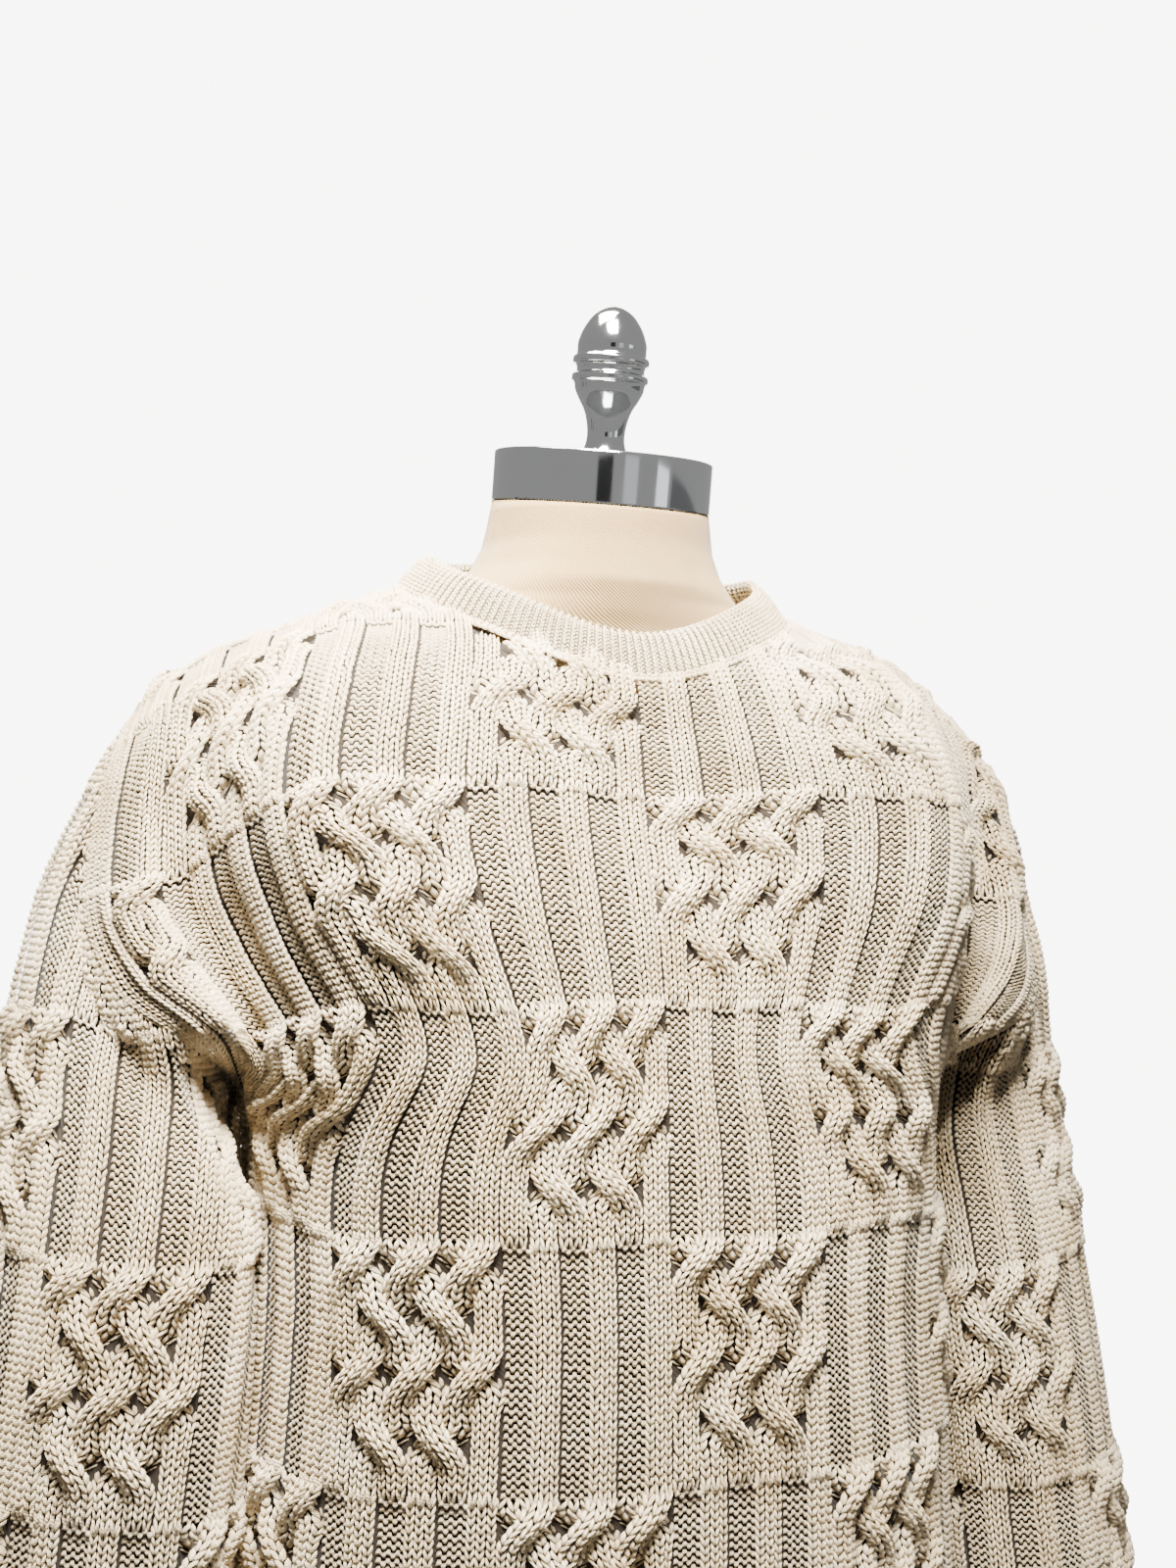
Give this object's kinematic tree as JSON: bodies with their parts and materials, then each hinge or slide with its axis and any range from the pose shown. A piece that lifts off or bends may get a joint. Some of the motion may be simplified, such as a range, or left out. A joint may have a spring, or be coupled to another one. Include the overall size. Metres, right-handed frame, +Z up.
{
  "type": "cable knit sweater on dress form with stand",
  "caption": "Loose crew-neck cable knit sweater with drop shoulders, rib collar, hem and cuffs, worn over a limbless canvas dress form with a chrome neck cap on a round-base stand",
  "frame": {"origin": "Centre of the stand's base on the floor, under the middle of the garment.", "axes": "+Z up along the stand, the wearer faces -Y, the wearer's left arm is on +X."},
  "size_m": [0.622, 0.32, 1.0569],
  "materials": {
    "cotton_knit": "matte plied cotton in cable and rib blocks",
    "cotton_rib": "matte cotton one-by-one rib",
    "canvas_cover": "cream fine-twill canvas",
    "polished_chrome": "mirror-polished chrome",
    "brushed_steel": "satin steel"
  },
  "bodies": {
    "root": {"front": "cotton_knit", "back": "cotton_knit", "sleeve_left": "cotton_knit", "sleeve_right": "cotton_knit", "collar": "cotton_rib", "hem_rib_front": "cotton_rib", "hem_rib_back": "cotton_rib", "cuff_left": "cotton_rib", "cuff_right": "cotton_rib", "form_torso": "canvas_cover", "neck_cap": "polished_chrome", "finial": "polished_chrome", "pole": "brushed_steel", "base": "brushed_steel"}
  },
  "joints": []
}
